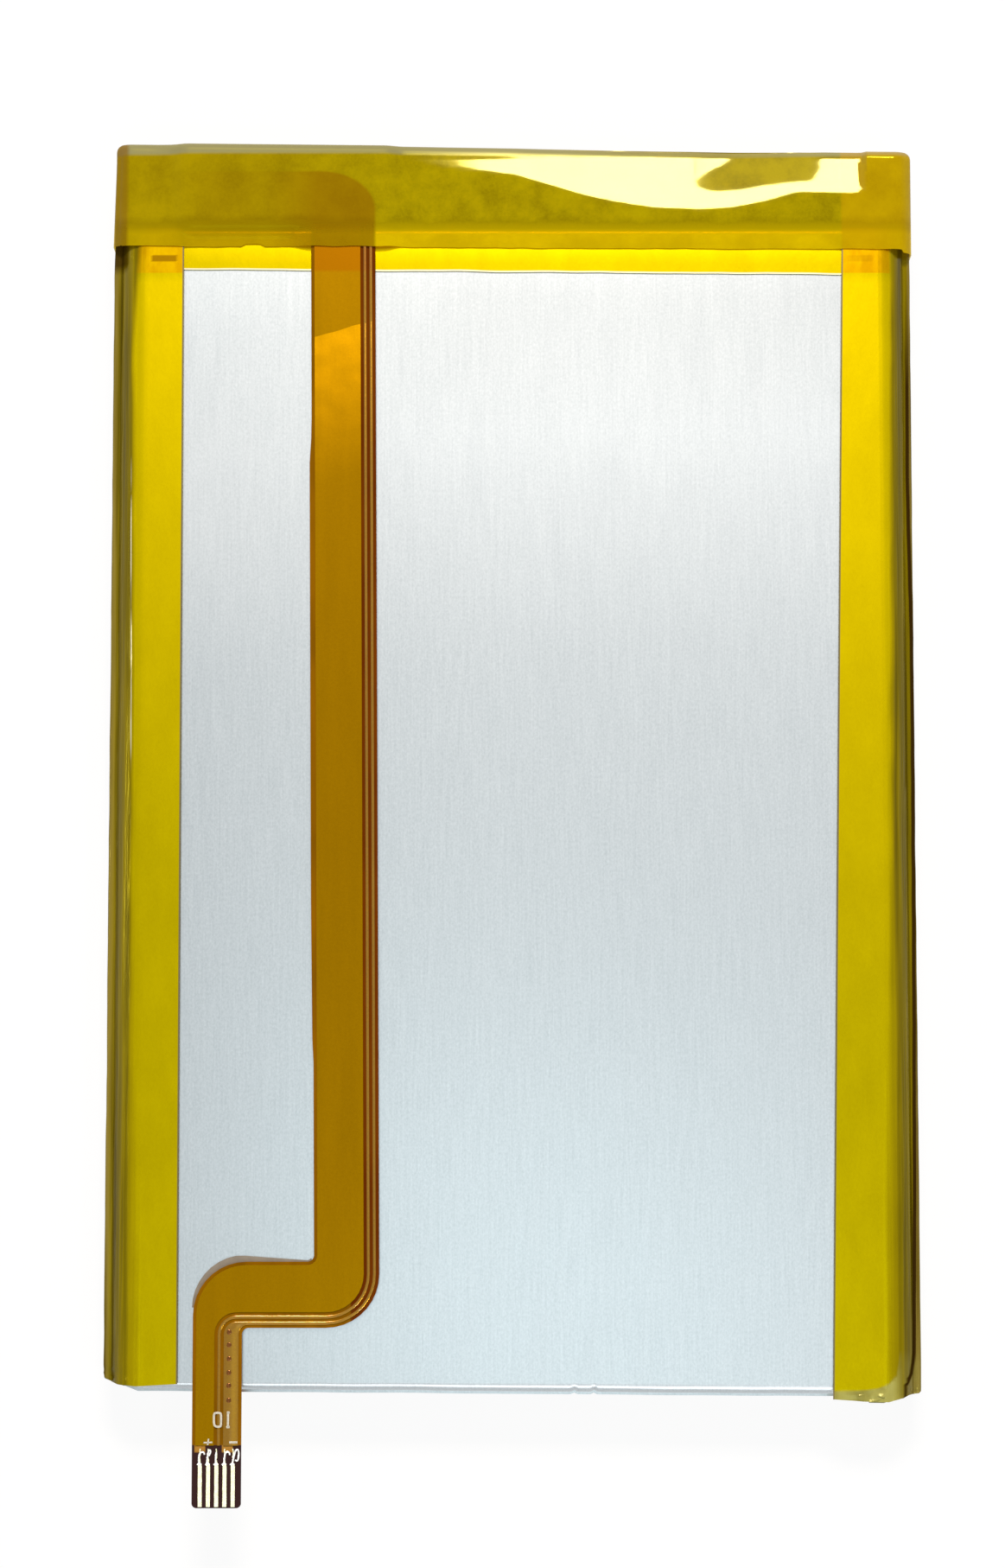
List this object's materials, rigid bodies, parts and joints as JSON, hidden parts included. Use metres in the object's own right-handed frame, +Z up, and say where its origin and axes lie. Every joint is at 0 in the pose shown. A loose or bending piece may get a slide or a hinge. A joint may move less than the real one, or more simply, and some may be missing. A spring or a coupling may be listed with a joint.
{
  "type": "lithium polymer battery",
  "caption": "Flat foil pouch battery bound with amber tape, with a flat cable that runs down its face to a contact tongue with gold fingers.",
  "frame": {"origin": "centre of the bounding box, on the surface that the battery lies on", "axes": "+X across the cell with its face up and the terrace end away, +Y along the cell towards the terrace end, +Z up out of the face"},
  "size_m": [0.0502, 0.085, 0.005],
  "materials": {
    "silver_foil": "satin, finely brushed along the cell",
    "amber_tape": "clear amber film over silver foil",
    "end_tape_amber": "semi-matte amber film, slightly creased",
    "cable_amber": "dark amber film",
    "coated_copper": "copper under a glossy amber cover film",
    "bare_copper": "rolled copper",
    "gold_plate": "bright gold plating",
    "stiff_amber": "matte backing film",
    "adhesive": "pale adhesive film",
    "board_green": "solder resist",
    "chip_black": "moulded resin",
    "resistor_black": "glazed",
    "ceramic_tan": "fired ceramic",
    "foam_grey": "closed-cell foam",
    "nickel": "satin nickel strip",
    "aluminium": "satin strip",
    "tab_polymer": "milky sealing film"
  },
  "bodies": {
    "root": {"pouch_cell": "silver_foil", "left_side_tape": "amber_tape", "right_side_tape": "amber_tape", "terrace_tape": "amber_tape", "end_tape": "end_tape_amber", "flex_film": "cable_amber", "positive_track": "coated_copper", "sense_track": "coated_copper", "negative_track": "coated_copper", "return_track": "bare_copper", "contact_finger_1": "gold_plate", "contact_finger_2": "gold_plate", "contact_finger_3": "gold_plate", "contact_finger_4": "gold_plate", "contact_finger_5": "gold_plate", "tongue_stiffener": "stiff_amber", "flex_adhesive": "adhesive", "protection_board": "board_green", "switch_transistors": "chip_black", "protection_chip": "chip_black", "resistor_1": "resistor_black", "resistor_2": "resistor_black", "capacitor_1": "ceramic_tan", "capacitor_2": "ceramic_tan", "thermistor": "ceramic_tan", "component_pad": "foam_grey", "negative_weld_pad": "nickel", "positive_weld_pad": "nickel", "negative_tab": "nickel", "positive_tab": "aluminium", "negative_tab_film": "tab_polymer", "positive_tab_film": "tab_polymer"}
  },
  "joints": []
}
